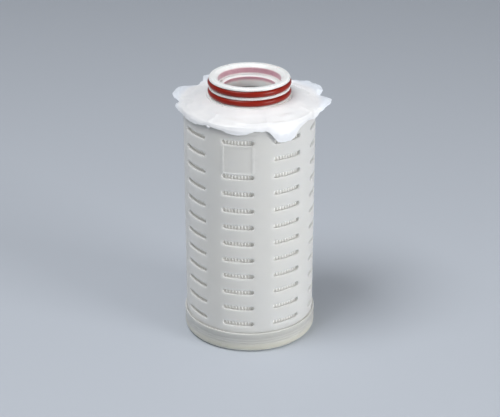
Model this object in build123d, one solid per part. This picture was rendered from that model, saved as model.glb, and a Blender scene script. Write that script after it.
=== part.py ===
from build123d import *
import os
from math import cos, pi, radians, sin

# Pleated membrane filter cartridge, standing on its closed bottom cap.
# Millimetres, +Z up along the axis, origin at the centre of the base.
# The front is towards -Y. Angles are in degrees, counter-clockwise from +X.

# Cage
cage_diameter = 71.0
cage_wall = 1.5
cage_length = 127.0

# Slots in the cage, in columns and rows
slot_columns = 8
slot_rows = 12
slot_arc = 28.5
slot_height = 2.7
row_pitch = 9.7
lowest_row = 13.2          # middle of the lowest row above the cage's lower end
first_column_angle = -100.0

# Blank panel that takes the place of one slot in the first column
blank_row = 10
panel_arc = 22.0
panel_height = 13.7
panel_border = 2.4
panel_rise = 0.3

# Bottom end cap
base_thickness = 4.0
rim_height = 7.7           # how far the rim climbs up the cage
rim_wall = 1.0
foot_radius = 3.2
rim_round = 0.4
base_recess_depth = 0.8
base_recess_inner = 9.0
base_recess_outer = 28.5
core_boss_height = 3.0

# Core tube inside the pleats, with rows of windows. It stands on the boss of the bottom
# cap, and its bore runs on through the top cap and the sleeve.
core_bore_diameter = 28.8
core_wall = 2.4
core_windows_across = 3    # each cut passes through both sides of the tube
core_window_width = 9.0
core_window_height = 5.5

# Pleated layers
support_thickness = 0.12
membrane_thickness = 0.08
leg_gap = 0.09             # between the legs of two pleats at the core
fold_gap = 0.04            # left inside each inner fold
pleat_ridge = 1.04         # width of the outer folds
pack_to_cage_gap = 0.3
pack_to_core_gap = 0.3

# Top end cap
spigot_depth = 3.0         # part of the cap that goes down inside the cage
cap_edge_height = 1.3
shoulder_drop = 3.8
neck_seat_rise = 6.0       # neck seat above the cage's top edge
shoulder_run_in = 1.0      # from the outside of the cage to the top of the cap's edge
cap_edge_round = 0.8

# O-rings of a standard size and the adapter that carries them
ring_inside_diameter = 37.69
ring_section = 3.53
ring_spacing = 5.0
ring_proud = 0.58          # how far a ring stands out of its gland
gland_side_clearance = 0.11
upper_ring_below_rim = 3.25
neck_height = 11.7
flange_thickness = 1.0
flange_overhang = 1.0
mouth_diameter = 33.7
mouth_chamfer = 1.6
lead_in_width = 0.67
lead_in_height = 1.1

# Sleeve inside the adapter, whose top is the ledge in the mouth
sleeve_height = 6.0

# Collar: a thin sheet round the shoulder with an uneven lobed edge
collar_thickness = 0.8
collar_root_gap = 0.2      # from the adapter's flange
collar_knee_gap = 0.8      # from the cage to the sheet's middle where it turns over the cap's edge
collar_knee_lift = 0.4     # of the same place above the cap's edge, where the sheet hangs down
collar_knee_flare = 0.14   # how much higher it is for each millimetre of overhang
collar_arch = 0.06         # crown of the free part, as a share of its width

# Fits
push_fit = 0.05            # radial, between welded or pressed parts
collar_clearance = 0.12    # under the collar

# The collar's edge: angle, overhang beyond the cage, height above the cage's top edge.
# Each row is one lobe, from its own notch to just before the next one.
collar_lobes = [
    [(-125, 1.4, 0.4), (-113, 1.6, -0.8), (-104, 1.8, -1.9), (-96, 1.9, -2.1), (-86, 1.7, -0.5)],
    [
        (-74, 1.7, -0.6), (-69, 2.3, -4.8), (-63, 2.8, -7.1),
        (-57, 2.8, -7.4), (-50, 2.3, -4.4), (-42, 1.9, -0.9), (-33, 1.7, -0.5),
    ],
    [(-24, 1.7, -1.8), (-14, 3.8, 0.5), (-3, 7.6, 2.0), (6, 8.3, 2.0)],
    [(15, 2.8, 1.3), (20, 6.4, 2.4), (28, 9.1, 3.0), (38, 8.5, 3.5), (46, 7.4, 3.2)],
    [(55, 4.0, 2.3), (63, 7.4, 3.4), (76, 8.5, 4.0)],
    [(88, 3.3, 2.5), (97, 6.8, 3.4), (110, 7.6, 4.2), (120, 7.6, 4.1), (126, 7.8, 3.8)],
    [
        (131, 3.8, 3.1), (138, 3.2, 2.6), (143, 4.6, 2.5), (148, 8.4, 2.6),
        (156, 8.9, 2.5), (164, 7.8, 1.8), (169, 5.2, 0.8),
    ],
    [
        (173.5, 2.3, 0.1), (177.5, 4.1, 0.1), (182, 4.0, 0.0), (187, 2.9, -0.5),
        (193, 1.9, -0.5), (201, 1.5, -0.6), (209, 1.5, -1.2), (217, 1.5, -1.0), (228, 1.5, -0.4),
    ],
]

# Levels and radii that follow from the sizes above
cage_radius = cage_diameter / 2
cage_inner = cage_radius - cage_wall
cage_top = base_thickness + cage_length
pack_top = cage_top - spigot_depth
neck_seat = cage_top + neck_seat_rise
rim_top = neck_seat + neck_height
core_bore = core_bore_diameter / 2
core_outer = core_bore + core_wall
core_foot = base_thickness + core_boss_height
gland_floor = ring_inside_diameter / 2
ring_middle = gland_floor + ring_section / 2
land_radius = gland_floor + ring_section - ring_proud
flange_radius = land_radius + flange_overhang
mouth_radius = mouth_diameter / 2
upper_ring_height = rim_top - upper_ring_below_rim
lower_ring_height = upper_ring_height - ring_spacing
collar_root = flange_radius + collar_root_gap
shoulder_edge_height = cage_top + cap_edge_height
shoulder_outer = cage_radius - shoulder_run_in
shoulder_outer_height = neck_seat - shoulder_drop


def turned(points):
    """A solid of revolution whose half section is the closed outline through the points."""
    outline = Polyline(*points, close=True)
    return revolve(Plane.XZ * make_face(outline), Axis.Z)


def nearest_edges(part, radius, height):
    """The circular edges that run nearest to a radius and height."""
    def miss(edge):
        point = edge @ 0.25
        around = (point.X ** 2 + point.Y ** 2) ** 0.5
        return abs(around - radius) + abs(point.Z - height)
    circles = part.edges().filter_by(GeomType.CIRCLE)
    least = min(miss(edge) for edge in circles)
    return [edge for edge in circles if miss(edge) < least + 0.001]


def sector(inner, outer, low, high, middle_angle, arc):
    """A piece of a ring between two angles."""
    outline = Polyline((inner, low), (outer, low), (outer, high), (inner, high), close=True)
    piece = revolve(Plane.XZ * make_face(outline), Axis.Z, revolution_arc=arc)
    return Rot(0, 0, middle_angle - arc / 2) * piece


def build_bottom_end_cap():
    outer = cage_radius + push_fit + rim_wall
    inner = cage_radius + push_fit
    top = base_thickness + rim_height
    cap = turned([
        (0, 0), (outer, 0), (outer, top), (inner, top), (inner, base_thickness),
        (core_outer, base_thickness), (core_outer, core_foot), (0, core_foot),
    ])
    recess = turned([
        (base_recess_inner, -1), (base_recess_outer, -1),
        (base_recess_outer, base_recess_depth), (base_recess_inner, base_recess_depth),
    ])
    cap = cap - recess
    cap = fillet(nearest_edges(cap, outer, 0), foot_radius)
    return fillet(nearest_edges(cap, outer, top), rim_round)


def build_outer_cage():
    low = base_thickness
    cage = turned([
        (cage_inner, low), (cage_radius, low), (cage_radius, cage_top), (cage_inner, cage_top),
    ])
    panel_middle = low + lowest_row + blank_row * row_pitch
    panel_low = panel_middle - panel_height / 2
    panel_high = panel_middle + panel_height / 2
    border_arc = panel_arc + 2 * panel_border / cage_radius * 180 / pi
    frame = sector(
        cage_inner + cage_wall / 2, cage_radius + panel_rise,
        panel_low - panel_border / 2, panel_high + panel_border / 2,
        first_column_angle, border_arc,
    )
    window = sector(
        cage_radius, cage_radius + 2 * panel_rise,
        panel_low, panel_high, first_column_angle, panel_arc,
    )
    cage = cage + frame - window
    slot_width = 2 * cage_radius * sin(radians(slot_arc / 2))
    slot = SlotOverall(slot_width, slot_height)
    cuts = []
    for column in range(slot_columns):
        angle = first_column_angle + column * 360 / slot_columns
        for row in range(slot_rows):
            if column == 0 and row == blank_row:
                continue
            height = low + lowest_row + row * row_pitch
            outward = Vector(cos(radians(angle)), sin(radians(angle)), 0)
            start = outward * (cage_inner * cos(radians(slot_arc / 2)) - 1)
            face = Plane(
                origin=(start.X, start.Y, height),
                x_dir=(-outward.Y, outward.X, 0),
                z_dir=outward,
            ) * slot
            cuts.append(extrude(face, cage_radius))
    return cage - cuts


def build_inner_core():
    core = turned([
        (core_bore, core_foot), (core_outer, core_foot),
        (core_outer, pack_top), (core_bore, pack_top),
    ])
    cuts = []
    for across in range(core_windows_across):
        turn = Rot(0, 0, first_column_angle + across * 180 / core_windows_across)
        for row in range(slot_rows):
            height = base_thickness + lowest_row + row * row_pitch
            if height + core_window_height > pack_top:
                continue
            cut = Box(4 * core_outer, core_window_width, core_window_height)
            cuts.append(turn * Pos(0, 0, height) * cut)
    return core - cuts


# Pleats: the four layers lie against each other, so each one lies between two offsets
# from the middle of the stack, counted outwards.
stack = 2 * support_thickness + 2 * membrane_thickness
fold_middle_outer = cage_inner - pack_to_cage_gap - stack / 2
fold_middle_inner = core_outer + pack_to_core_gap + stack / 2
pleat_count = int(2 * pi * (fold_middle_inner - stack / 2) / (2 * stack + leg_gap))
layer_offsets = {
    "upstream_support": (stack / 2 - support_thickness, stack / 2),
    "prefilter_membrane": (0, membrane_thickness),
    "final_membrane": (-membrane_thickness, 0),
    "downstream_support": (-stack / 2, support_thickness - stack / 2),
}


def pleat_outline(offset):
    """The closed zigzag line at an offset from the middle of the stack."""
    outer = fold_middle_outer + offset
    inner = fold_middle_inner + offset
    outer_turn = (pleat_ridge / 2 - stack / 2 + offset) / outer
    inner_turn = (fold_gap / 2 + stack / 2 - offset) / inner
    half_pitch = pi / pleat_count
    points = []
    for pleat in range(pleat_count):
        ridge = radians(first_column_angle) + 2 * pleat * half_pitch
        valley = ridge + half_pitch
        points += [(outer, ridge - outer_turn), (outer, ridge + outer_turn)]
        points += [(inner, valley - inner_turn), (inner, valley + inner_turn)]
    return Wire.make_polygon([
        Vector(radius * cos(angle), radius * sin(angle), base_thickness)
        for radius, angle in points
    ])


def build_pleated_layer(name):
    inside, outside = layer_offsets[name]
    face = Face(pleat_outline(outside), [pleat_outline(inside)])
    return extrude(face, pack_top - base_thickness, dir=(0, 0, 1))


def build_top_end_cap():
    spigot = cage_inner - push_fit
    cap = turned([
        (core_bore, pack_top), (spigot, pack_top), (spigot, cage_top), (cage_radius, cage_top),
        (cage_radius, shoulder_edge_height), (shoulder_outer, shoulder_outer_height),
        (flange_radius, neck_seat), (core_bore, neck_seat),
    ])
    return fillet(nearest_edges(cap, cage_radius, shoulder_edge_height), cap_edge_round)


def build_o_ring_adapter():
    half_gland = ring_section / 2 + gland_side_clearance
    outline = [(mouth_radius, neck_seat), (flange_radius, neck_seat)]
    outline += [
        (flange_radius, neck_seat + flange_thickness),
        (land_radius, neck_seat + flange_thickness),
    ]
    for height in (lower_ring_height, upper_ring_height):
        outline += [(land_radius, height - half_gland), (gland_floor, height - half_gland)]
        outline += [(gland_floor, height + half_gland), (land_radius, height + half_gland)]
    outline += [
        (land_radius, rim_top - lead_in_height),
        (land_radius - lead_in_width, rim_top),
        (mouth_radius + mouth_chamfer, rim_top),
        (mouth_radius, rim_top - mouth_chamfer),
    ]
    return turned(outline)


def build_o_ring(height):
    return Pos(0, 0, height) * Torus(ring_middle, ring_section / 2)


def build_reinforcing_ring():
    outer = mouth_radius - push_fit
    top = neck_seat + sleeve_height
    return turned([
        (core_bore, neck_seat), (outer, neck_seat), (outer, top), (core_bore, top),
    ])


def collar_section(angle, overhang, lift):
    """The collar's cross-section at an angle, as a face in the half plane through the axis."""
    fall = Vector(shoulder_outer - flange_radius, shoulder_outer_height - neck_seat).normalized()
    raised = collar_clearance + collar_thickness / 2
    above_seat = Vector(flange_radius, neck_seat) + Vector(-fall.Y, fall.X) * raised

    root = above_seat + fall * collar_root_gap
    shoulder = above_seat + fall * (shoulder_outer - flange_radius)
    knee_height = shoulder_edge_height + collar_knee_lift + collar_knee_flare * overhang
    knee = Vector(cage_radius + collar_knee_gap, knee_height)
    tip = Vector(cage_radius + overhang, cage_top + lift)
    run = (tip - knee).normalized()
    crown = Vector(-run.Y, run.X) * (tip - knee).length * collar_arch
    middle = (knee + tip) / 2 + crown
    turn = (middle - shoulder).normalized()

    def faces_of_sheet(side):
        """The line along the sheet's upper or lower face, out from the shoulder."""
        points = []
        for point, along in ((shoulder, fall), (knee, turn), (middle, run), (tip, run)):
            points.append(point + Vector(-along.Y, along.X) * side * collar_thickness / 2)
        return Spline(*points, tangents=(fall, run))

    upper = faces_of_sheet(1)
    lower = faces_of_sheet(-1)
    half_root = Vector(-fall.Y, fall.X) * collar_thickness / 2
    outline = [
        Line(root + half_root, upper @ 0), upper, Line(upper @ 1, lower @ 1),
        lower, Line(lower @ 0, root - half_root), Line(root - half_root, root + half_root),
    ]
    return Rot(0, 0, angle) * (Plane.XZ * make_face(outline))


def build_scalloped_collar():
    collar = None
    for index, lobe in enumerate(collar_lobes):
        next_notch = collar_lobes[(index + 1) % len(collar_lobes)][0]
        sections = [collar_section(*point) for point in lobe + [next_notch]]
        petal = loft([section.faces()[0] for section in sections])
        collar = petal if collar is None else collar + petal
    return collar


pieces = {
    "bottom_end_cap": build_bottom_end_cap(),
    "outer_cage": build_outer_cage(),
    "inner_core": build_inner_core(),
    "top_end_cap": build_top_end_cap(),
    "o_ring_adapter": build_o_ring_adapter(),
    "upper_o_ring": build_o_ring(upper_ring_height),
    "lower_o_ring": build_o_ring(lower_ring_height),
    "reinforcing_ring": build_reinforcing_ring(),
    "scalloped_collar": build_scalloped_collar(),
}
for layer in layer_offsets:
    pieces[layer] = build_pleated_layer(layer)

os.makedirs("parts", exist_ok=True)
for node, shape in pieces.items():
    export_step(shape, f"parts/{node}.step")
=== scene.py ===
from math import atan2, cos, floor, hypot, pi, radians, sin

import bmesh
import bpy
from bpy.props import FloatProperty, FloatVectorProperty, IntProperty, PointerProperty
from bpy.types import NodeSocket, Operator, Panel, PropertyGroup
from mathutils import Matrix, Vector, noise


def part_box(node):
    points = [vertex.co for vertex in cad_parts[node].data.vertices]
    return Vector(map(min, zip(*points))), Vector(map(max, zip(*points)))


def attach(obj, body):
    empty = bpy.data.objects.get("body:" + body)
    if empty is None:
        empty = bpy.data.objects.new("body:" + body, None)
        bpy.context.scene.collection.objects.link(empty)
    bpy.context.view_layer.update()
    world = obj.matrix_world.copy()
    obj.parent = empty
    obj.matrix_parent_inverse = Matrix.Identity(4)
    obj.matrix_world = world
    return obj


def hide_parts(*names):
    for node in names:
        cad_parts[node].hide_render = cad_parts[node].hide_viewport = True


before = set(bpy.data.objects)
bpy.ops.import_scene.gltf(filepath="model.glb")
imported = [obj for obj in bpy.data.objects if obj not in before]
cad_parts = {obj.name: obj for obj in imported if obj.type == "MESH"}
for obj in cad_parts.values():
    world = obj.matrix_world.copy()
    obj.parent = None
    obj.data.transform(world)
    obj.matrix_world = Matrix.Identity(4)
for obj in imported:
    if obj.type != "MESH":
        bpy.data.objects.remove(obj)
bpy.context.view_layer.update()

bl_info = {
    "name": "Pleated Filter Cartridge",
    "version": (1, 0, 0),
    "blender": (4, 5, 0),
    "location": "3D View > Sidebar > Cartridge",
    "description": "Dresses the pieces of a pleated membrane filter cartridge",
    "category": "Object",
}

MM = 0.001

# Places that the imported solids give
CAGE_LOW, CAGE_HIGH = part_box("outer_cage")
CAP_LOW, CAP_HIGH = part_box("bottom_end_cap")
NECK_LOW, NECK_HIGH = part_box("o_ring_adapter")
SLEEVE_LOW, SLEEVE_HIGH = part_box("reinforcing_ring")
UPPER_RING_LOW, UPPER_RING_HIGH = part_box("upper_o_ring")
LOWER_RING_LOW, LOWER_RING_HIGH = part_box("lower_o_ring")
PACK_LOW, PACK_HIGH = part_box("upstream_support")
CAGE_RADIUS = CAGE_HIGH.x
CAGE_TOP = CAGE_HIGH.z
NECK_SEAT = NECK_LOW.z
RIM_TOP = NECK_HIGH.z
FLANGE_RADIUS = NECK_HIGH.x
RING_SECTION = UPPER_RING_HIGH.z - UPPER_RING_LOW.z
RING_OUTER = UPPER_RING_HIGH.x
UPPER_RING_MIDDLE = (UPPER_RING_LOW.z + UPPER_RING_HIGH.z) / 2
LOWER_RING_MIDDLE = (LOWER_RING_LOW.z + LOWER_RING_HIGH.z) / 2
PACK_RADIUS = PACK_HIGH.x

# Points of a mesh that lie closer than this are one point
SAME_POINT = 0.01 * MM


def length(name, description, millimetres):
    """A size, kept in metres."""
    return FloatProperty(name=name, description=description, default=millimetres * MM,
                         unit="LENGTH", precision=5)


def angle(name, description, default):
    """An angle, given in degrees."""
    return FloatProperty(name=name, description=description, default=radians(default), unit="ROTATION")


def share(name, description, default):
    """A plain number from 0 to 1."""
    return FloatProperty(name=name, description=description, default=default, min=0, max=1, subtype="FACTOR")


def count(name, description, default, least=1):
    """A whole number."""
    return IntProperty(name=name, description=description, default=default, min=least)


def linear(value):
    """The linear strength of an 8-bit display value."""
    value /= 255
    return value / 12.92 if value <= 0.04045 else ((value + 0.055) / 1.055) ** 2.4


def colour(name, description, *display):
    """A linear colour, given by its red, green and blue on a display."""
    return FloatVectorProperty(name=name, description=description, default=tuple(map(linear, display)),
                               size=3, min=0, max=1, subtype="COLOR")


class CageSettings(PropertyGroup):
    """Sizes of the slotted cage"""
    wall: length("Wall", "Thickness of the cage's wall", 1.5)
    columns: count("Columns", "Columns of slots round the cage", 8)
    rows: count("Rows", "Rows of slots along the cage", 12)
    slot_arc: angle("Slot arc", "Angle that each slot spans", 28.5)
    slot_height: length("Slot height", "Height of each slot", 2.7)
    row_pitch: length("Row pitch", "Distance between the rows of slots", 9.7)
    lowest_row: length("Lowest row", "Middle of the lowest row above the cage's lower end", 13.2)
    first_column: angle("First column", "Angle of the column that has the blank panel", -100)
    blank_row: count("Blank row", "Row that the blank panel takes, the lowest one being 0", 10, 0)
    panel_arc: angle("Panel arc", "Angle that the blank panel spans", 22)
    panel_height: length("Panel height", "Height of the blank panel", 13.7)
    panel_border: length("Panel border", "Width of the panel's raised border", 2.4)
    panel_rise: length("Panel rise", "Height of the panel's raised border", 0.3)
    slot_round: length("Slot rounding", "Rounding of the slots' edges", 0.28)


class PleatSettings(PropertyGroup):
    """Shape and light of the outer pleated layer"""
    ridge_round: length("Ridge rounding", "Rounding of the folds", 0.4)
    bands: count("Bands", "Bands that the folds waver in", 30)
    waver: length("Waver", "How far a fold strays sideways", 0.14)
    # Painted glow, given off as emission by the pleated layer
    glow: share("Glow", "Scattered light in the depth of the pleats", 0.09)
    ridge_glow: share("Ridge glow", "How much of the scattered light reaches the folds", 0.4)


class NeckSettings(PropertyGroup):
    """Sizes of the adapter and its sleeve"""
    land_radius: length("Land radius", "Radius of the lands beside the rings", 21.795)
    gland_radius: length("Gland radius", "Radius of the floor under the rings", 18.845)
    side_clearance: length("Side clearance", "Gap beside a ring in its gland", 0.11)
    flange_thickness: length("Flange thickness", "Thickness of the flange at the neck's foot", 1)
    mouth_radius: length("Mouth radius", "Radius of the mouth", 16.85)
    mouth_chamfer: length("Mouth chamfer", "Chamfer inside the rim", 1.6)
    lead_in_width: length("Lead-in width", "Width of the lead-in outside the rim", 0.67)
    lead_in_height: length("Lead-in height", "Height of the lead-in outside the rim", 1.1)
    sleeve_bore: length("Sleeve bore", "Radius of the sleeve's bore", 14.4)
    edge_round: length("Edge rounding", "Rounding of the moulded edges", 0.25)


class CapSettings(PropertyGroup):
    """Sizes of the bottom end cap"""
    cage_seat: length("Cage seat", "Height of the floor that the cage stands on", 4)
    rim_wall: length("Rim wall", "Thickness of the rim round the cage", 1)
    foot_round: length("Foot rounding", "Rounding of the lower edge", 3.2)
    recess_inner: length("Recess inside", "Inner radius of the recess underneath", 9)
    recess_outer: length("Recess outside", "Outer radius of the recess underneath", 28.5)
    recess_depth: length("Recess depth", "Depth of the recess underneath", 0.8)
    boss_radius: length("Boss radius", "Radius of the boss under the core", 16.8)
    boss_height: length("Boss height", "Height of the boss under the core", 3)
    grooves: count("Grooves", "Number of fine grooves round the rim", 3)
    groove_depth: length("Groove depth", "Depth of the fine grooves round the rim", 0.06)
    groove_pitch: length("Groove pitch", "Distance between the fine grooves", 1.5)
    first_groove: length("First groove", "Height of the lowest fine groove", 5.1)


class CollarSettings(PropertyGroup):
    """Shape of the collar's sheet"""
    thickness: length("Thickness", "Thickness of the sheet", 0.55)
    shoulder_radius: length("Shoulder radius", "Radius where the cap's shoulder ends", 34.5)
    shoulder_drop: length("Shoulder drop", "Fall of the shoulder below the neck's seat", 3.8)
    root_gap: length("Root gap", "Gap between the sheet and the neck's flange", 0.2)
    lift: length("Lift", "Middle of the sheet above the shoulder", 0.52)
    knee_gap: length("Knee gap", "Middle of the sheet beyond the cage, at the bend", 0.8)
    knee_rise: length("Knee rise", "Height of the bend above the cage where the sheet hangs", 1.7)
    knee_flare: share("Knee flare", "How much the bend rises for each unit of overhang", 0.14)
    crown: share("Crown", "Crown of the free part as a share of its width", 0.08)
    ripple: length("Ripple", "Height of the small ripples in the free edge", 0.6)
    ragged: length("Ragged", "How far the edge strays in and out", 0.6)
    crease: length("Crease", "Depth of the creases on the shoulder", 0.55)


class ColourSettings(PropertyGroup):
    """Colours of the finishes"""
    cage: colour("Cage", "Moulded cage", 222, 222, 219)
    cap: colour("Cap", "Bottom end cap", 204, 204, 200)
    # Painted yellowish shade on the cap's lower part
    foot: colour("Foot", "Lower edge of the bottom cap", 208, 206, 190)
    # Painted highlight round the lower edge where the cap stands
    edge: colour("Edge", "Fine line where the cap stands", 252, 252, 240)
    neck: colour("Neck", "Adapter and its sleeve", 250, 247, 245)
    collar: colour("Collar", "Thin collar", 244, 244, 246)
    # Painted cool tint of the backdrop seen through the collar's free lobes
    lobes: colour("Lobes", "Free lobes of the collar", 228, 236, 248)
    ring: colour("Ring", "Silicone rings", 140, 30, 15)
    fleece: colour("Fleece", "Support layers", 248, 248, 246)
    membrane: colour("Membrane", "Membrane layers", 244, 243, 238)
    # Painted pink shadow of the rings, where they show through the neck's and the sleeve's walls
    ring_shadow_tint: colour("Blush", "Tint of the rings seen through the neck", 206, 164, 176)
    floor: colour("Floor", "Floor and backdrop", 188, 194, 203)


class StudioSettings(PropertyGroup):
    """Place of the camera, and sizes of the floor and backdrop"""
    camera_distance: length("Camera distance", "Camera in front of the axis", 728)
    camera_height: length("Camera height", "Camera above the floor", 409)
    camera_side: length("Camera side", "Camera beside the axis", 0.27)
    camera_pitch: angle("Camera pitch", "How far the camera looks down", 24.93)
    lens: FloatProperty(name="Lens", description="Focal length", default=104.47, subtype="DISTANCE_CAMERA")
    floor_size: length("Floor size", "Width of the floor", 3200)
    wall_height: length("Wall height", "Height of the backdrop", 1600)
    sweep_radius: length("Sweep radius", "Bend between the floor and the backdrop", 500)


class CartridgeSettings(PropertyGroup):
    """All the cartridge's settings"""
    cage: PointerProperty(type=CageSettings)
    pleats: PointerProperty(type=PleatSettings)
    neck: PointerProperty(type=NeckSettings)
    cap: PointerProperty(type=CapSettings)
    collar: PointerProperty(type=CollarSettings)
    colours: PointerProperty(type=ColourSettings)
    studio: PointerProperty(type=StudioSettings)


# The collar's edge in degrees and millimetres: angle, overhang beyond the cage and height
# above the cage's top edge. Each row is one lobe, from its own notch to just before the next.
COLLAR_LOBES = (
    ((-125, 1.4, 0.4), (-113, 1.6, -0.8), (-104, 1.8, -1.9), (-96, 1.9, -2.1), (-86, 1.7, -0.5)),
    ((-74, 1.7, -0.6), (-70.5, 2.2, -3.6), (-67, 2.6, -6.8), (-62, 2.8, -7.3),
     (-56, 2.8, -7.4), (-52.5, 2.5, -6.4), (-48, 2.2, -3.4), (-42, 1.9, -0.9), (-33, 1.7, -0.5)),
    ((-24, 1.7, -1.8), (-14, 3.8, 0.5), (-3, 7.6, 2.0), (6, 8.3, 2.0)),
    ((15, 2.8, 1.3), (20, 6.4, 2.4), (28, 9.1, 3.0), (38, 8.5, 3.5), (46, 7.4, 3.2)),
    ((55, 4.0, 2.3), (63, 7.4, 3.4), (76, 8.5, 4.0)),
    ((88, 3.3, 2.5), (97, 6.8, 3.4), (110, 7.6, 4.2), (120, 7.6, 4.1), (126, 7.8, 3.8)),
    ((131, 3.8, 3.1), (138, 3.2, 2.6), (143, 4.6, 2.5), (148, 8.4, 2.6),
     (156, 8.9, 2.5), (164, 7.8, 1.8), (169, 5.2, 0.8)),
    ((173.5, 2.3, 0.1), (177.5, 4.1, 0.1), (182, 4.0, 0.0), (187, 2.9, -0.5),
     (193, 1.9, -0.5), (201, 1.5, -0.6), (209, 1.5, -1.2), (217, 1.5, -1.0), (228, 1.5, -0.4)),
)


# Node trees

COLOUR_SOCKET = "NodeSocketColor"
NUMBER_SOCKET = "NodeSocketFloat"
PALE = (0.8, 0.8, 0.8, 1)

# Where a mix node keeps the sockets for colours
FIRST_COLOUR = 6
SECOND_COLOUR = 7
MIXED_COLOUR = 2


def feed(tree, entry, source):
    """Links a socket to an input, or sets the input to a plain value."""
    if isinstance(source, NodeSocket):
        tree.links.new(source, entry)
    else:
        entry.default_value = source


def add_node(tree, kind, values=None, **settings):
    """Adds a shader node, sets its attributes and feeds its inputs."""
    node = tree.nodes.new("ShaderNode" + kind)
    for name, value in settings.items():
        setattr(node, name, value)
    for name, value in (values or {}).items():
        feed(tree, node.inputs[name], value)
    return node


def object_place(tree):
    """The place of each shaded point."""
    return add_node(tree, "TexCoord").outputs["Object"]


def place_sockets(tree):
    """The distance from the axis, and the height, of each shaded point."""
    parts = add_node(tree, "SeparateXYZ", {"Vector": object_place(tree)}).outputs
    flat = add_node(tree, "CombineXYZ", {"X": parts["X"], "Y": parts["Y"]}).outputs["Vector"]
    radius = add_node(tree, "VectorMath", {0: flat}, operation="LENGTH").outputs["Value"]
    return radius, parts["Z"]


def grain(tree, place, scale, detail, **others):
    """A random pattern from 0 to 1."""
    values = {"Vector": place, "Scale": scale, "Detail": detail, **others}
    return add_node(tree, "TexNoise", values).outputs["Fac"]


def maths(tree, operation, *sources):
    """The result of a sum on sockets and numbers."""
    return add_node(tree, "Math", dict(enumerate(sources)), operation=operation).outputs[0]


def product(tree, first, *others):
    """The product of masks."""
    for other in others:
        first = maths(tree, "MULTIPLY", first, other)
    return first


def ramp(tree, source, start, end, low=0.0, high=1.0, kind="SMOOTHSTEP"):
    """A mask that goes from low at start to high at end."""
    values = {"Value": source, "From Min": start, "From Max": end, "To Min": low, "To Max": high}
    return add_node(tree, "MapRange", values, interpolation_type=kind).outputs["Result"]


def mixed(tree, factor, first, second, blend_type="MIX"):
    """A colour mixed from two others."""
    values = {"Factor": factor, FIRST_COLOUR: first, SECOND_COLOUR: second}
    mix = add_node(tree, "Mix", values, data_type="RGBA", blend_type=blend_type)
    return mix.outputs[MIXED_COLOUR]


def add_bump(tree, entry, height, strength, distance):
    """Feeds the normal of a bumpy surface to an input."""
    values = {"Height": height, "Strength": strength, "Distance": distance}
    feed(tree, entry, add_node(tree, "Bump", values).outputs["Normal"])


def new_group(name, inputs, outputs):
    """An empty shader group, with the sockets that it is given and those that it fills."""
    group = bpy.data.node_groups.new(name, "ShaderNodeTree")
    for title, default in inputs.items():
        kind = NUMBER_SOCKET if isinstance(default, float) else COLOUR_SOCKET
        socket = group.interface.new_socket(name=title, in_out="INPUT", socket_type=kind)
        socket.default_value = default
    for title, kind in outputs.items():
        group.interface.new_socket(name=title, in_out="OUTPUT", socket_type=kind)
    return group, group.nodes.new("NodeGroupInput").outputs, group.nodes.new("NodeGroupOutput").inputs


def moulded_group():
    """Moulded plastic: clouded colour, uneven gloss and a fine skin."""
    name = "Moulded plastic"
    if name in bpy.data.node_groups:
        return bpy.data.node_groups[name]
    group, given, result = new_group(
        name,
        {"Color": PALE, "Cloud Color": PALE, "Cloud Scale": 40.0, "Cloud Amount": 0.5,
         "Skin Scale": 1500.0, "Roughness": 0.4, "Roughness Spread": 0.1},
        {"Color": COLOUR_SOCKET, "Roughness": NUMBER_SOCKET, "Height": NUMBER_SOCKET},
    )
    place = object_place(group)
    clouds = ramp(group, grain(group, place, given["Cloud Scale"], 3.0, Roughness=0.55), 0.3, 0.7)
    amount = product(group, clouds, given["Cloud Amount"])
    feed(group, result["Color"], mixed(group, amount, given["Color"], given["Cloud Color"]))
    feed(group, result["Height"], grain(group, place, given["Skin Scale"], 4.0, Roughness=0.6))
    gloss = grain(group, place, 90.0, 5.0, Roughness=0.7)
    centred = maths(group, "SUBTRACT", gloss, 0.5)
    uneven = maths(group, "MULTIPLY_ADD", centred, given["Roughness Spread"], given["Roughness"])
    feed(group, result["Roughness"], uneven)
    return group


def fibre_group():
    """Nonwoven: random fibres as height, and a colour that is darker between them."""
    name = "Fibre mat"
    if name in bpy.data.node_groups:
        return bpy.data.node_groups[name]
    group, given, result = new_group(
        name,
        {"Color": PALE, "Shade": 0.8, "Scale": 900.0},
        {"Color": COLOUR_SOCKET, "Height": NUMBER_SOCKET},
    )
    place = object_place(group)
    stretch = (1, 1, 0.12)
    strands = []
    for turn in (0.4, 1.9):
        values = {"Vector": place, "Rotation": (turn, turn / 2, turn), "Scale": stretch}
        lay = add_node(group, "Mapping", values).outputs["Vector"]
        strands.append(grain(group, lay, given["Scale"], 2.0, Distortion=0.6))
    height = maths(group, "MAXIMUM", *strands)
    feed(group, result["Height"], height)
    depth = ramp(group, height, 0.4, 0.65, given["Shade"], 1.0, "LINEAR")
    feed(group, result["Color"], mixed(group, 1.0, given["Color"], depth, "MULTIPLY"))
    return group


# Materials

PLASTIC_IOR = 1.49


def new_material(name, **sockets):
    """A material with one Principled shader, whose even values are set on its own sockets."""
    material = bpy.data.materials.new(name)
    material.use_nodes = True
    tree = material.node_tree
    shader = tree.nodes["Principled BSDF"]
    for title, value in sockets.items():
        shader.inputs[title.replace("_", " ")].default_value = value
    return material, tree, shader


def moulded_material(name, base, cloud, scale, amount, rough, spread, **sockets):
    """A moulded plastic: its colours, the scale and amount of the clouds, and how rough it is."""
    material, tree, shader = new_material(name, **sockets)
    values = {"Color": (*base, 1), "Cloud Color": (*cloud, 1), "Cloud Scale": scale,
              "Cloud Amount": amount, "Roughness": rough, "Roughness Spread": spread}
    surface = add_node(tree, "Group", values, node_tree=moulded_group()).outputs
    feed(tree, shader.inputs["Base Color"], surface["Color"])
    feed(tree, shader.inputs["Roughness"], surface["Roughness"])
    add_bump(tree, shader.inputs["Normal"], surface["Height"], 0.12, 0.04 * MM)
    return material, tree, shader, surface["Color"]


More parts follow.
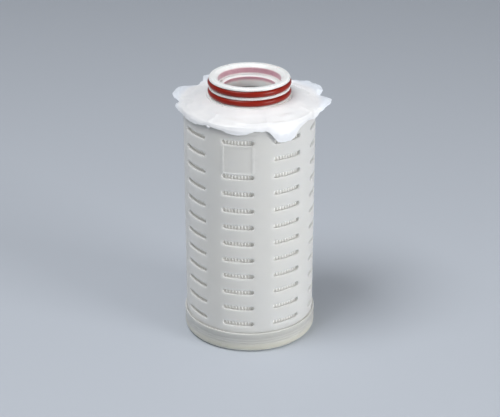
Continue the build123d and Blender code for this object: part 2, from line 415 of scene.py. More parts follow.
def fleece_material(name, base, scale, shade, strength):
    """A fibrous layer: its colour, how fine and how dark between the fibres it is, and its bumps."""
    material, tree, shader = new_material(name, Roughness=0.85, IOR=1.45)
    values = {"Color": (*base, 1), "Scale": scale, "Shade": shade}
    mat = add_node(tree, "Group", values, node_tree=fibre_group()).outputs
    feed(tree, shader.inputs["Base Color"], mat["Color"])
    add_bump(tree, shader.inputs["Normal"], mat["Height"], strength, 0.1 * MM)
    return material, tree, shader, mat["Color"]


def scaled(base, factor, tint=(1, 1, 1)):
    """A colour made lighter, darker or tinted."""
    return tuple(min(1.0, value * factor * extra) for value, extra in zip(base, tint))


def translucent(*millimetres, weight=1.0):
    """The shader's values for a plastic that red, green and blue light enter to these depths."""
    depths = [depth * MM for depth in millimetres]
    return {"Subsurface_Weight": weight, "Subsurface_Radius": depths, "Subsurface_Scale": 1.0}


def cage_material(colours):
    """Thick translucent plastic that drifts between a warm and a cool white."""
    warm = scaled(colours.cage, 1.0, (1.0, 0.99, 0.972))
    cool = scaled(colours.cage, 0.97, (0.985, 0.99, 1.0))
    return moulded_material(
        "Cage plastic", warm, cool, scale=22.0, amount=0.9, rough=0.38, spread=0.14,
        IOR=PLASTIC_IOR, **translucent(5, 5, 5),
    )[0]


def cap_material(colours):
    """The cage's plastic, with painted yellowish shade towards the foot and a painted highlight round the
    edge where it stands.
    """
    material, tree, shader, plastic = moulded_material(
        "Cap plastic", colours.cap, scaled(colours.cap, 0.95, (1.0, 0.99, 0.95)),
        scale=35.0, amount=0.7, rough=0.35, spread=0.12,
        IOR=PLASTIC_IOR, **translucent(4, 4, 4),
    )
    radius, height = place_sockets(tree)
    # Painted shade: the colour turns yellowish towards the foot
    foot = ramp(tree, height, 7.5 * MM, 1.8 * MM, 0.0, 0.8)
    with_foot_shade = mixed(tree, foot, plastic, (*colours.foot, 1))
    # Painted highlight: a bright line round the cap's lower edge
    edge = product(tree, ramp(tree, height, 1.6 * MM, 0.9 * MM), ramp(tree, radius, 32.5 * MM, 33.5 * MM))
    feed(tree, shader.inputs["Base Color"], mixed(tree, edge, with_foot_shade, (*colours.edge, 1)))
    return material


def neck_material(colours):
    """White plastic, with a painted pink shadow of the rings inside the mouth, where they show through the
    wall.
    """
    material, tree, shader, plastic = moulded_material(
        "Neck plastic", colours.neck, scaled(colours.neck, 0.97, (1.0, 0.995, 0.99)),
        scale=60.0, amount=0.6, rough=0.28, spread=0.1,
        IOR=PLASTIC_IOR, **translucent(2.2, 2, 2),
    )
    radius, height = place_sockets(tree)
    inside = ramp(tree, radius, 17.8 * MM, 16.9 * MM)
    below_rim = ramp(tree, height, RIM_TOP - 1.2 * MM, RIM_TOP - 2.2 * MM)
    above_ledge = ramp(tree, height, RIM_TOP - 5.2 * MM, RIM_TOP - 4 * MM)
    # Painted shadow: a pink band at the upper ring's height, inside the mouth
    band = product(tree, inside, below_rim, above_ledge)
    feed(tree, shader.inputs["Base Color"], mixed(tree, band, plastic, (*colours.ring_shadow_tint, 1)))
    return material


def sleeve_material(colours):
    """White plastic, with a painted pink shadow of the lower ring just under the ledge, where it shows
    through the wall.
    """
    material, tree, shader, plastic = moulded_material(
        "Sleeve plastic", colours.neck, scaled(colours.neck, 0.98, (1, 0.985, 0.985)),
        scale=60.0, amount=0.6, rough=0.4, spread=0.1,
        IOR=PLASTIC_IOR, **translucent(2, 1.8, 1.8),
    )
    height = place_sockets(tree)[1]
    ledge = SLEEVE_HIGH.z
    below_ledge = ramp(tree, height, ledge - 0.1 * MM, ledge - 0.5 * MM)
    above_bore = ramp(tree, height, ledge - 2.8 * MM, ledge - 1 * MM)
    # Painted shadow: a pink band at the lower ring's height, just under the ledge
    band = product(tree, below_ledge, above_bore)
    feed(tree, shader.inputs["Base Color"], mixed(tree, band, plastic, (*colours.ring_shadow_tint, 1)))
    return material


def core_material(colours):
    """White plastic, a little duller than the neck."""
    dull = scaled(colours.neck, 0.98, (1, 0.98, 0.98))
    darker = scaled(colours.neck, 0.92, (1, 0.97, 0.97))
    return moulded_material("Core plastic", dull, darker, scale=50.0, amount=0.6, rough=0.45, spread=0.1,
                            IOR=PLASTIC_IOR)[0]


def collar_material(colours):
    """Thin milky sheet with fine creases, with a painted cool tint in the free lobes that stands in for the
    backdrop seen through them.
    """
    material, tree, shader, plastic = moulded_material(
        "Collar sheet", colours.collar, scaled(colours.collar, 0.93, (0.99, 1.0, 1.01)),
        scale=75.0, amount=0.8, rough=0.36, spread=0.16,
        IOR=1.5, **translucent(3, 3, 3.4, weight=0.2),
    )
    radius = place_sockets(tree)[0]
    # Painted tint: the lobes beyond the cage turn cool, as if the backdrop showed through
    lobes = ramp(tree, radius, CAGE_RADIUS + 0.5 * MM, CAGE_RADIUS + 5 * MM, 0.0, 0.8)
    feed(tree, shader.inputs["Base Color"], mixed(tree, lobes, plastic, (*colours.lobes, 1)))
    skin = shader.inputs["Normal"].links[0].from_node
    crumple = grain(tree, object_place(tree), 160.0, 3.0, Distortion=0.8)
    add_bump(tree, skin.inputs["Normal"], crumple, 0.3, 0.8 * MM)
    return material


def ring_material(colours):
    """Red-brown silicone: even colour with a dusty bloom and a soft gloss."""
    return moulded_material(
        "Silicone rubber", colours.ring, scaled(colours.ring, 0.8, (1, 0.85, 0.85)),
        scale=120.0, amount=0.6, rough=0.3, spread=0.14,
        IOR=1.43, Specular_IOR_Level=0.3, **translucent(2, 0.6, 0.4, weight=0.08),
    )[0]


def pleat_material(colours, pleats):
    """The outer support layer, with a painted glow in its depths that stands in for the light that the pack
    scatters.
    """
    material, tree, shader, fleece = fleece_material("Pleated fleece", colours.fleece, 900.0, 0.95, 0.3)
    radius = place_sockets(tree)[0]
    ridge = PACK_RADIUS - 0.1 * MM
    depth = PACK_RADIUS - 1.4 * MM
    # Painted glow: emission, strongest in the depths between the folds and weaker on the ridges
    glow = ramp(tree, radius, ridge, depth, pleats.glow * pleats.ridge_glow, pleats.glow)
    feed(tree, shader.inputs["Emission Color"], mixed(tree, 1.0, fleece, glow, "MULTIPLY"))
    shader.inputs["Emission Strength"].default_value = 1.0
    return material


def floor_material(colours):
    """Plain pale floor, with a very faint drift in its tone."""
    material, tree, shader = new_material("Studio floor", Roughness=0.75)
    drift = grain(tree, object_place(tree), 1.5, 2.0)
    darker = (*scaled(colours.floor, 0.96), 1)
    feed(tree, shader.inputs["Base Color"], mixed(tree, drift, (*colours.floor, 1), darker))
    return material


# Mesh helpers

def add_object(name, data):
    """Adds an object to the scene, at the origin."""
    item = bpy.data.objects.new(name, data)
    bpy.context.scene.collection.objects.link(item)
    return item


def add_mesh(name, bm, material):
    """Turns a bmesh into a smooth object with one material."""
    mesh = bpy.data.meshes.new(name)
    bm.to_mesh(mesh)
    bm.free()
    mesh.materials.append(material)
    mesh.shade_smooth()
    return add_object(name, mesh)


def make_piece(name, bm, material, replaced, sharp_angle):
    """Turns a bmesh into a finished piece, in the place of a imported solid."""
    piece = add_mesh(name, bm, material)
    piece.data.set_sharp_from_angle(angle=radians(sharp_angle))
    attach(piece, "root")
    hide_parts(replaced)


def dress(node, material):
    """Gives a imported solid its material."""
    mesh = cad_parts[node].data
    mesh.materials.clear()
    mesh.materials.append(material)


def spin_round(bm, steps):
    """Turns what a bmesh holds all the way round the axis."""
    bmesh.ops.spin(bm, geom=bm.verts[:] + bm.edges[:], cent=(0, 0, 0), axis=(0, 0, 1), dvec=(0, 0, 0),
                   angle=2 * pi, steps=steps, use_merge=True, use_duplicate=False)


def round_off(bm, geom, offset, segments, affect="EDGES", clamp=False):
    """Rounds edges or corners."""
    bmesh.ops.bevel(bm, geom=geom, offset=offset, offset_type="OFFSET", segments=segments,
                    profile=0.5, affect=affect, clamp_overlap=clamp, material=-1)


def pull_edges(bm, edges, vector):
    """Draws faces out of edges along a vector."""
    grown = bmesh.ops.extrude_edge_only(bm, edges=edges)["geom"]
    verts = [item for item in grown if isinstance(item, bmesh.types.BMVert)]
    bmesh.ops.translate(bm, vec=vector, verts=verts)


def face_up(bm):
    """Turns the faces of an open sheet upwards."""
    bmesh.ops.recalc_face_normals(bm, faces=bm.faces[:])
    if sum(face.normal.z for face in bm.faces) < 0:
        bmesh.ops.reverse_faces(bm, faces=bm.faces[:])


def join_up(bm, points, closed):
    """Points in a row or a ring, and the edges that join them."""
    verts = [bm.verts.new(point) for point in points]
    ends = verts[1:] + (verts[:1] if closed else [])
    return verts, [bm.edges.new(pair) for pair in zip(verts, ends)]


def lathe(profile, steps=160, segments=3):
    """A closed solid of revolution from corners, each with its radius, height and rounding."""
    bm = bmesh.new()
    corners = join_up(bm, [(radius, 0, height) for radius, height, _ in profile], True)[0]
    roundings = {}
    for corner, (_, _, rounding) in zip(corners, profile):
        roundings.setdefault(rounding, []).append(corner)
    for rounding, verts in roundings.items():
        if rounding > 0:
            round_off(bm, verts, rounding, segments, "VERTICES")
    spin_round(bm, steps)
    bmesh.ops.remove_doubles(bm, verts=bm.verts[:], dist=SAME_POINT / 10)
    bmesh.ops.recalc_face_normals(bm, faces=bm.faces[:])
    return bm


def bend_to_cylinder(bm, radius):
    """Wraps a flat sheet, x along the arc and y up, onto a cylinder, with z as the height over it."""
    for vert in bm.verts:
        along, up, out = vert.co
        turn = along / radius
        vert.co = ((radius + out) * cos(turn), (radius + out) * sin(turn), up)


# The cage: flat cells of wall, one for each slot, that are joined and bent round

STRAIGHT_STEPS = 8
END_STEPS = 8
SHARP_EDGE = radians(60)


def straight_points(start, end, height):
    """Points along a level line from start up to, and without, end."""
    return [(start + (end - start) * step / STRAIGHT_STEPS, height, 0) for step in range(STRAIGHT_STEPS)]


def slot_loops(half_width, half_height, slot_half_width, slot_radius):
    """Matching points round a slot and round the cell that holds it."""
    straight = slot_half_width - slot_radius
    middle = (straight + half_width) / 2
    side = [(straight, half_height), (middle, half_height), (half_width, half_height),
            (half_width, half_height / 2), (half_width, 0), (half_width, -half_height / 2),
            (half_width, -half_height), (middle, -half_height)]
    slot = []
    cell = []
    for way in (1, -1):
        slot += straight_points(way * straight, -way * straight, way * slot_radius)
        cell += straight_points(way * straight, -way * straight, way * half_height)
        for step, (across, up) in enumerate(side):
            turn = way * pi / 2 + pi * step / END_STEPS
            slot.append((-way * straight + slot_radius * cos(turn), slot_radius * sin(turn), 0))
            cell.append((-way * across, way * up, 0))
    return slot, cell


def add_cell(bm, centre, slot, cell, open_slot):
    """One cell of the cage wall, with its slot open or filled."""
    fresh = bmesh.new()
    slot_edges = join_up(fresh, slot, True)[1]
    cell_edges = join_up(fresh, cell, True)[1]
    bmesh.ops.bridge_loops(fresh, edges=slot_edges + cell_edges)
    across = [edge for edge in fresh.edges if edge not in slot_edges and edge not in cell_edges]
    bmesh.ops.subdivide_edges(fresh, edges=across, cuts=2, use_grid_fill=True)
    if not open_slot:
        fresh.verts.ensure_lookup_table()
        ring = [fresh.verts[index] for index in range(len(slot))]
        upper = ring[:STRAIGHT_STEPS + 1]
        first_low = STRAIGHT_STEPS + END_STEPS
        lower = ring[first_low:first_low + STRAIGHT_STEPS + 1][::-1]
        for step in range(STRAIGHT_STEPS):
            fresh.faces.new((upper[step], upper[step + 1], lower[step + 1], lower[step]))
        fresh.faces.new(ring[STRAIGHT_STEPS:first_low + 1])
        fresh.faces.new(ring[first_low + STRAIGHT_STEPS:] + ring[:1])
    bmesh.ops.translate(fresh, vec=(centre[0], centre[1], 0), verts=fresh.verts[:])
    mesh = bpy.data.meshes.new("cell")
    fresh.to_mesh(mesh)
    fresh.free()
    bm.from_mesh(mesh)
    bpy.data.meshes.remove(mesh)


def raise_panel_border(bm, settings, radius, low):
    """Raises the border of the blank panel out of the flat wall."""
    middle = low + settings.lowest_row + settings.blank_row * settings.row_pitch
    slope = settings.panel_rise * 2
    inner = (radius * settings.panel_arc / 2, settings.panel_height / 2)
    outer = (inner[0] + settings.panel_border, inner[1] + settings.panel_border / 2)
    reach_across = outer[0] + 1 * MM
    reach_up = outer[1] + 0.2 * MM
    for axis in (0, 1):
        for line in (inner[axis], inner[axis] + slope, outer[axis] - slope, outer[axis]):
            for side in (-1, 1):
                faces = [face for face in bm.faces
                         if any(abs(vert.co.x) < reach_across for vert in face.verts)
                         and any(abs(vert.co.y - middle) < reach_up for vert in face.verts)]
                edges = {edge for face in faces for edge in face.edges}
                verts = {vert for face in faces for vert in face.verts}
                point = [0, middle, 0]
                point[axis] += side * line
                normal = [0, 0, 0]
                normal[axis] = 1
                bmesh.ops.bisect_plane(bm, geom=list(verts) + list(edges) + faces, dist=SAME_POINT / 10,
                                       plane_co=point, plane_no=normal)
    fine = SAME_POINT / 2
    for vert in bm.verts:
        across = abs(vert.co.x)
        up = abs(vert.co.y - middle)
        within = across < outer[0] - slope + fine and up < outer[1] - slope + fine
        beyond = across > inner[0] + slope - fine or up > inner[1] + slope - fine
        if within and beyond:
            vert.co.z += settings.panel_rise


def flat_wall(settings, radius, low, high):
    """The cage's wall laid flat, with its slots, plain ends and the panel's border."""
    bm = bmesh.new()
    half_width = pi * radius / settings.columns
    half_slot = radius * sin(settings.slot_arc / 2)
    slot, cell = slot_loops(half_width, settings.row_pitch / 2, half_slot, settings.slot_height / 2)
    for column in range(settings.columns):
        for row in range(settings.rows):
            blank = column == 0 and row == settings.blank_row
            centre = (2 * half_width * column, low + settings.lowest_row + row * settings.row_pitch)
            add_cell(bm, centre, slot, cell, not blank)
    bmesh.ops.remove_doubles(bm, verts=bm.verts[:], dist=SAME_POINT)
    for end, edge_row in ((low, low + settings.lowest_row - settings.row_pitch / 2),
                          (high, low + settings.lowest_row + (settings.rows - 0.5) * settings.row_pitch)):
        edges = [edge for edge in bm.edges
                 if all(abs(vert.co.y - edge_row) < SAME_POINT for vert in edge.verts)]
        pull_edges(bm, edges, (0, end - edge_row, 0))
    raise_panel_border(bm, settings, radius, low)
    return bm


def build_cage_wall(settings, radius, low, high):
    """The slotted wall as one closed mesh."""
    bm = flat_wall(settings, radius, low, high)
    bend_to_cylinder(bm, radius)
    bmesh.ops.remove_doubles(bm, verts=bm.verts[:], dist=SAME_POINT)
    turned = Matrix.Rotation(settings.first_column, 3, "Z")
    bmesh.ops.rotate(bm, verts=bm.verts[:], cent=(0, 0, 0), matrix=turned)
    bmesh.ops.recalc_face_normals(bm, faces=bm.faces[:])
    if sum(face.normal.xy.dot(face.calc_center_median().xy) for face in bm.faces) < 0:
        bmesh.ops.reverse_faces(bm, faces=bm.faces[:])
    bmesh.ops.solidify(bm, geom=bm.faces[:], thickness=settings.wall)
    inside_radius = radius - settings.wall
    for vert in bm.verts:
        around = hypot(vert.co.x, vert.co.y)
        if around < radius - settings.wall / 2:
            vert.co.x *= inside_radius / around
            vert.co.y *= inside_radius / around
    sharp = [edge for edge in bm.edges if edge.calc_face_angle(0) > SHARP_EDGE]
    round_off(bm, sharp, settings.slot_round, 2, clamp=True)
    return bm


class CARTRIDGE_OT_cage(Operator):
    """Build the slotted cage with its blank panel"""
    bl_idname = "cartridge.cage"
    bl_label = "Cage"

    def execute(self, context):
        settings = context.scene.cartridge
        bm = build_cage_wall(settings.cage, CAGE_RADIUS, CAGE_LOW.z, CAGE_HIGH.z)
        make_piece("slotted_cage", bm, cage_material(settings.colours), "outer_cage", 35)
        return {"FINISHED"}


# The pleats

PLEAT_PITCH = radians(3)
FLAT_ENOUGH = radians(0.4)
SHORTEST_FOLD = 50 * MM
WAVER_DEPTH = 4 * MM
WAVES_PER_METRE = 60
STEP_BETWEEN_PLEATS = 1.7


def round_folds(bm, rounding):
    """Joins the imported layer's loose triangles, and rounds its outer folds."""
    bmesh.ops.remove_doubles(bm, verts=bm.verts[:], dist=SAME_POINT / 5)
    bmesh.ops.dissolve_limit(bm, angle_limit=FLAT_ENOUGH, verts=bm.verts[:], edges=bm.edges[:])
    nearly_outside = PACK_RADIUS - 0.05 * MM
    folds = [edge for edge in bm.edges if edge.calc_length() > SHORTEST_FOLD
             and all(hypot(vert.co.x, vert.co.y) > nearly_outside for vert in edge.verts)]
    round_off(bm, folds, rounding, 3)


def waver_folds(bm, pleats):
    """Cuts the folds into bands, and lets each fold stray sideways, most at its outer edge."""
    for band in range(1, pleats.bands):
        height = PACK_LOW.z + (PACK_HIGH.z - PACK_LOW.z) * band / pleats.bands
        bmesh.ops.bisect_plane(bm, geom=bm.verts[:] + bm.edges[:] + bm.faces[:], dist=SAME_POINT / 100,
                               plane_co=(0, 0, height), plane_no=(0, 0, 1))
    for vert in bm.verts:
        radius = hypot(vert.co.x, vert.co.y)
        outward = min(1, max(0, (radius - PACK_RADIUS + WAVER_DEPTH) / WAVER_DEPTH))
        turn = atan2(vert.co.y, vert.co.x)
        pleat = floor(turn / PLEAT_PITCH + 0.5)
        wave = noise.noise(Vector((pleat * STEP_BETWEEN_PLEATS, vert.co.z * WAVES_PER_METRE, 3)))
        stray = wave * pleats.waver * outward
        vert.co += Vector((-sin(turn), cos(turn), 0)) * stray


class CARTRIDGE_OT_pleats(Operator):
    """Round the folds of the outer pleated layer and give every layer its finish"""
    bl_idname = "cartridge.pleats"
    bl_label = "Pleats"

    def execute(self, context):
        settings = context.scene.cartridge
        pleats = settings.pleats
        colours = settings.colours
        fleece = fleece_material("Support fleece", colours.fleece, 900.0, 0.95, 0.3)[0]
        membrane = fleece_material("Membrane sheet", colours.membrane, 2600.0, 0.97, 0.2)[0]
        for node, material in (("downstream_support", fleece), ("prefilter_membrane", membrane),
                               ("final_membrane", membrane)):
            dress(node, material)
        bm = bmesh.new()
        bm.from_mesh(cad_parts["upstream_support"].data)
        round_folds(bm, pleats.ridge_round)
        waver_folds(bm, pleats)
        make_piece("pleated_support", bm, pleat_material(colours, pleats),
                   "upstream_support", 50)
        return {"FINISHED"}


class CARTRIDGE_OT_neck(Operator):
    """Build the adapter with its glands, and the sleeve inside it"""
    bl_idname = "cartridge.neck"
    bl_label = "Neck"

    def execute(self, context):
        settings = context.scene.cartridge
        neck = settings.neck
        half_gland = RING_SECTION / 2 + neck.side_clearance
        fine = neck.edge_round / 2
        soft = neck.edge_round * 2
        land = neck.land_radius
        gland = neck.gland_radius
        flange_top = NECK_SEAT + neck.flange_thickness
        outline = [
            (neck.mouth_radius, NECK_SEAT, 0), (FLANGE_RADIUS, NECK_SEAT, 0),
            (FLANGE_RADIUS, flange_top, neck.edge_round), (land, flange_top, fine),
        ]
        for middle in (LOWER_RING_MIDDLE, UPPER_RING_MIDDLE):
            low = middle - half_gland
            high = middle + half_gland
            outline += [(land, low, fine), (gland, low, fine), (gland, high, fine), (land, high, fine)]
        outline += [
            (land, RIM_TOP - neck.lead_in_height, neck.edge_round),
            (land - neck.lead_in_width, RIM_TOP, neck.edge_round * 1.6),
            (neck.mouth_radius + neck.mouth_chamfer, RIM_TOP, soft),
            (neck.mouth_radius, RIM_TOP - neck.mouth_chamfer, soft),
        ]
        make_piece("neck_adapter", lathe(outline), neck_material(settings.colours),
                   "o_ring_adapter", 40)
        sleeve = [
            (neck.sleeve_bore, SLEEVE_LOW.z, 0), (SLEEVE_HIGH.x, SLEEVE_LOW.z, 0),
            (SLEEVE_HIGH.x, SLEEVE_HIGH.z, fine), (neck.sleeve_bore, SLEEVE_HIGH.z, soft),
        ]
        make_piece("neck_sleeve", lathe(sleeve), sleeve_material(settings.colours),
                   "reinforcing_ring", 40)
        return {"FINISHED"}


class CARTRIDGE_OT_rings(Operator):
    """Build the two silicone rings"""
    bl_idname = "cartridge.rings"
    bl_label = "Rings"

    def execute(self, context):
        settings = context.scene.cartridge
        rubber = ring_material(settings.colours)
        section = RING_SECTION / 2
        middle_radius = RING_OUTER - section
        steps = 32
        for node, middle in (("upper_o_ring", UPPER_RING_MIDDLE), ("lower_o_ring", LOWER_RING_MIDDLE)):
            profile = []
            for step in range(steps):
                turn = 2 * pi * (step + 0.5) / steps
                profile.append((middle_radius + section * cos(turn), middle + section * sin(turn), 0))
            piece_name = node.replace("o_ring", "silicone_ring")
            make_piece(piece_name, lathe(profile, steps=200), rubber, node, 60)
        return {"FINISHED"}


class CARTRIDGE_OT_caps(Operator):
    """Build the bottom cap with its grooved rim, and finish the top cap and the core"""
    bl_idname = "cartridge.caps"
    bl_label = "Caps"

    def execute(self, context):
        settings = context.scene.cartridge
        cap = settings.cap
        outer = CAP_HIGH.x
        inner = outer - cap.rim_wall
        top = CAP_HIGH.z
        recess_top = CAP_LOW.z + cap.recess_depth
        recess_round = 0.3 * MM
        boss_top = cap.cage_seat + cap.boss_height
        half_groove = cap.groove_depth * 2
        outline = [
            (0.0, boss_top, 0), (0.0, CAP_LOW.z, 0),
            (cap.recess_inner, CAP_LOW.z, recess_round), (cap.recess_inner, recess_top, recess_round),
            (cap.recess_outer, recess_top, recess_round), (cap.recess_outer, CAP_LOW.z, recess_round),
            (outer, CAP_LOW.z, cap.foot_round),
        ]
        for groove in range(cap.grooves):
            height = cap.first_groove + groove * cap.groove_pitch
            outline += [(outer, height - half_groove, 0), (outer - cap.groove_depth, height, 0),
                        (outer, height + half_groove, 0)]
        outline += [
            (outer, top, cap.rim_wall * 0.4), (inner, top, cap.rim_wall * 0.1), (inner, cap.cage_seat, 0),
            (cap.boss_radius, cap.cage_seat, 0), (cap.boss_radius, boss_top, 0),
        ]
        make_piece("bottom_cap", lathe(outline, steps=180, segments=5), cap_material(settings.colours),
                   "bottom_end_cap", 40)
        dress("top_end_cap", cap_material(settings.colours))
        dress("inner_core", core_material(settings.colours))
        return {"FINISHED"}


# The collar: a flat ring of faces whose points are then laid over the shoulder

COLLAR_STEPS = 540
COLLAR_RINGS = 30

# Shares of the sheet's width, from its root to its edge, and of its free part
SHOULDER_SHARE = 0.5
BEND_PLACE = 0.3
CROWN_PLACE = 0.65

# The creases that run in from the notches: their half width, place and lean in degrees,
# and the shares of the sheet's width where they begin and over which they grow
CREASE_WIDTH = 5
CREASE_OFFSET = 2.5
CREASE_LEAN = 6
CREASE_START = 0.2
CREASE_GROWTH = 0.35

# The soft folds that follow the edge
FOLD_ROUND = 3.1
FOLD_OUT = 9
FOLD_HEIGHT = 1.6
FOLD_GROWTH = 2.5

# The ragged edge and the coarse and fine ripples: how fast each changes round the collar, the
# row of noise that it is read from, and the overhang at which the edge is fully ragged
RAGGED_ROUND = 14
RAGGED_ROW = 4.2
RAGGED_OVERHANG = 5 * MM
RIPPLE_ROUND = 9
RIPPLE_ROW = 1.3
FINE_ROUND = 22
FINE_ROW = 7.1


def ease(points, place):
    """A smooth value at a place, through points of (place, value...), with free ends."""
    last = len(points) - 2
    index = max(number for number in range(last + 1) if number == 0 or points[number][0] <= place)
    before = points[max(index - 1, 0)]
    start = points[index]
    end = points[index + 1]
    after = points[min(index + 2, last + 1)]
    span = end[0] - start[0]
    way = (place - start[0]) / span
    values = []
    for item in range(1, len(start)):
        slope_in = (end[item] - before[item]) / (end[0] - before[0]) * span
        slope_out = (after[item] - start[item]) / (after[0] - start[0]) * span
        values.append((2 * way ** 3 - 3 * way ** 2 + 1) * start[item]
                      + (way ** 3 - 2 * way ** 2 + way) * slope_in
                      + (3 * way ** 2 - 2 * way ** 3) * end[item]
                      + (way ** 3 - way ** 2) * slope_out)
    return values


def collar_edge(turn):
    """Overhang and height of the collar's edge at an angle in degrees."""
    first = COLLAR_LOBES[0][0][0]
    place = (turn - first) % 360 + first
    for index, lobe in enumerate(COLLAR_LOBES):
        following = COLLAR_LOBES[(index + 1) % len(COLLAR_LOBES)][0]
        end = following[0] + (360 if index == len(COLLAR_LOBES) - 1 else 0)
        if place <= end:
            break
    overhang, height = ease(list(lobe) + [(end, following[1], following[2])], place)
    return overhang * MM, height * MM


def crease_height(turn, share_out):
    """Creases that run in from the notches, and soft folds that follow the edge, from 0 to about 1."""
    height = 0.0
    grown = min(1, max(0, (share_out - CREASE_START) / CREASE_GROWTH))
    for lobe in COLLAR_LOBES:
        away = (turn - lobe[0][0] + 180) % 360 - 180
        off_line = abs(away - CREASE_OFFSET + CREASE_LEAN * share_out)
        height += grown * max(0.0, 1 - off_line / CREASE_WIDTH) ** 2
    around = radians(turn)
    folds = noise.noise(Vector((cos(around) * FOLD_ROUND, sin(around) * FOLD_ROUND, share_out * FOLD_OUT)))
    return height + max(0.0, folds) * FOLD_HEIGHT * min(1, share_out * FOLD_GROWTH)


def collar_place(collar, turn, share_out):
    """Radius and height of the sheet's middle at an angle and a share of its width, without creases."""
    root = FLANGE_RADIUS + collar.root_gap
    run_down = collar.shoulder_radius - FLANGE_RADIUS
    if share_out <= SHOULDER_SHARE:
        radius = root + (collar.shoulder_radius - root) * share_out / SHOULDER_SHARE
        slope = collar.shoulder_drop / run_down
        return radius, NECK_SEAT + collar.lift - slope * (radius - FLANGE_RADIUS)
    overhang, height = collar_edge(turn * 180 / pi)
    stray = noise.noise(Vector((cos(turn) * RAGGED_ROUND, sin(turn) * RAGGED_ROUND, RAGGED_ROW)))
    overhang += stray * collar.ragged * min(1, overhang / RAGGED_OVERHANG)
    shoulder = Vector((collar.shoulder_radius, NECK_SEAT - collar.shoulder_drop + collar.lift))
    before = shoulder - Vector((run_down, -collar.shoulder_drop)).normalized() * (2 * MM)
    knee_level = CAGE_TOP + collar.knee_rise + collar.knee_flare * overhang
    knee = Vector((CAGE_RADIUS + collar.knee_gap, knee_level))
    tip = Vector((CAGE_RADIUS + overhang, CAGE_TOP + height))
    run = tip - knee
    middle = (knee + tip) / 2 + Vector((-run.y, run.x)) * collar.crown
    place = (share_out - SHOULDER_SHARE) / (1 - SHOULDER_SHARE)
    chain = [(-1, *before), (0, *shoulder), (BEND_PLACE, *knee), (CROWN_PLACE, *middle), (1, *tip)]
    radius, level = ease(chain, place)
    free = max(0.0, place - BEND_PLACE) / (1 - BEND_PLACE)
    wave = noise.noise(Vector((turn * RIPPLE_ROUND, RIPPLE_ROW, free * 0.8)))
    wave += 0.5 * noise.noise(Vector((turn * FINE_ROUND, FINE_ROW, free)))
    return radius, level + wave * collar.ripple * free ** 1.5


class CARTRIDGE_OT_collar(Operator):
    """Build the thin lobed collar over the shoulder"""
    bl_idname = "cartridge.collar"
    bl_label = "Collar"

    def execute(self, context):
        settings = context.scene.cartridge
        collar = settings.collar
        root = FLANGE_RADIUS + collar.root_gap
        bm = bmesh.new()
        join_up(bm, [(root + ring * MM, 0, 0) for ring in range(COLLAR_RINGS + 1)], False)
        spin_round(bm, COLLAR_STEPS)
        for vert in bm.verts:
            turn = atan2(vert.co.y, vert.co.x)
            share_out = (hypot(vert.co.x, vert.co.y) - root) / (COLLAR_RINGS * MM)
            radius, level = collar_place(collar, turn, share_out)
            level += crease_height(turn * 180 / pi, share_out) * collar.crease
            vert.co = (radius * cos(turn), radius * sin(turn), level)
        face_up(bm)
        bmesh.ops.translate(bm, vec=(0, 0, collar.thickness / 2), verts=bm.verts[:])
        bmesh.ops.solidify(bm, geom=bm.faces[:], thickness=collar.thickness)
        make_piece("lobed_collar", bm, collar_material(settings.colours),
                   "scalloped_collar", 60)
        return {"FINISHED"}


# The stage

SWEEP_STEPS = 12
SENSOR_WIDTH = 36
AIR_COLOUR = (0.94, 0.95, 0.96, 1)
AIR_STRENGTH = 0.36

# Each lamp's name, place, aim, size, power in watts and colour
LAMPS = (
    ("key_lamp", (0.9, -0.6, 0.3), (0, 0, 0.08), 0.45, 7.4, (1.0, 0.998, 0.99)),
    ("top_lamp", (-0.35, -0.25, 1.1), (0, 0, 0.14), 0.5, 7.8, (0.98, 0.99, 1.0)),
)


def add_floor(studio, colours):
    """The floor, which bends up into the backdrop behind the cartridge."""
    half = studio.floor_size / 2
    bend = studio.sweep_radius
    line = [(-half, 0.0)]
    for step in range(SWEEP_STEPS + 1):
        turn = pi / 2 * step / SWEEP_STEPS
        line.append((half - bend + bend * sin(turn), bend * (1 - cos(turn))))
    line.append((half, studio.wall_height))
    bm = bmesh.new()
    edges = join_up(bm, [(-half, back, up) for back, up in line], False)[1]
    pull_edges(bm, edges, (2 * half, 0, 0))
    face_up(bm)
    floor = add_mesh("studio_floor", bm, floor_material(colours))


def add_lamp(name, place, aim, size, power, tone):
    """A square lamp that shines at a point."""
    lamp = bpy.data.lights.new(name, "AREA")
    lamp.energy = power
    lamp.size = size
    lamp.color = tone
    holder = add_object(name, lamp)
    holder.location = place
    holder.rotation_euler = (Vector(aim) - Vector(place)).to_track_quat("-Z", "Y").to_euler()


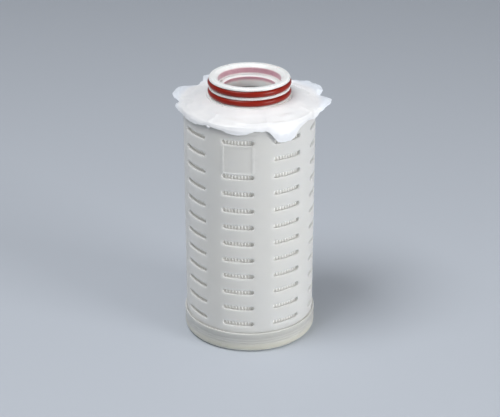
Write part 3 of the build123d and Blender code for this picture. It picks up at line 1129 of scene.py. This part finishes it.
def add_camera(scene, studio):
    """The camera in front, which looks down at the cartridge."""
    camera = bpy.data.cameras.new("product_camera")
    camera.lens = studio.lens
    camera.sensor_width = SENSOR_WIDTH
    holder = add_object("product_camera", camera)
    holder.location = (studio.camera_side, -studio.camera_distance, studio.camera_height)
    holder.rotation_euler = (pi / 2 - studio.camera_pitch, 0, 0)
    scene.camera = holder


class CARTRIDGE_OT_stage(Operator):
    """Set up the floor, the lamps, the world and the camera"""
    bl_idname = "cartridge.stage"
    bl_label = "Stage"

    def execute(self, context):
        scene = context.scene
        studio = scene.cartridge.studio
        add_floor(studio, scene.cartridge.colours)
        for lamp in LAMPS:
            add_lamp(*lamp)
        world = bpy.data.worlds.new("Studio air")
        world.use_nodes = True
        background = world.node_tree.nodes["Background"]
        background.inputs["Color"].default_value = AIR_COLOUR
        background.inputs["Strength"].default_value = AIR_STRENGTH
        scene.world = world
        add_camera(scene, studio)
        scene.view_settings.view_transform = "Standard"
        return {"FINISHED"}


BUILDERS = (
    CARTRIDGE_OT_stage, CARTRIDGE_OT_cage, CARTRIDGE_OT_pleats, CARTRIDGE_OT_neck,
    CARTRIDGE_OT_rings, CARTRIDGE_OT_caps, CARTRIDGE_OT_collar,
)


class CARTRIDGE_PT_pieces(Panel):
    """Lists the cartridge's builders"""
    bl_idname = "CARTRIDGE_PT_pieces"
    bl_label = "Filter Cartridge"
    bl_space_type = "VIEW_3D"
    bl_region_type = "UI"
    bl_category = "Cartridge"

    def draw(self, context):
        for builder in BUILDERS:
            self.layout.operator(builder.bl_idname)


CLASSES = (
    CageSettings, PleatSettings, NeckSettings, CapSettings, CollarSettings, ColourSettings,
    StudioSettings, CartridgeSettings, *BUILDERS, CARTRIDGE_PT_pieces,
)


def register():
    """Registers the classes and gives the scene its settings."""
    for item in CLASSES:
        bpy.utils.register_class(item)
    bpy.types.Scene.cartridge = PointerProperty(type=CartridgeSettings)


def unregister():
    """Takes the settings and the classes away again."""
    del bpy.types.Scene.cartridge
    for item in reversed(CLASSES):
        bpy.utils.unregister_class(item)


def main():
    """Builds the stage and every piece."""
    register()
    for builder in BUILDERS:
        group, name = builder.bl_idname.split(".")
        getattr(getattr(bpy.ops, group), name)()


if __name__ == "__main__":
    main()
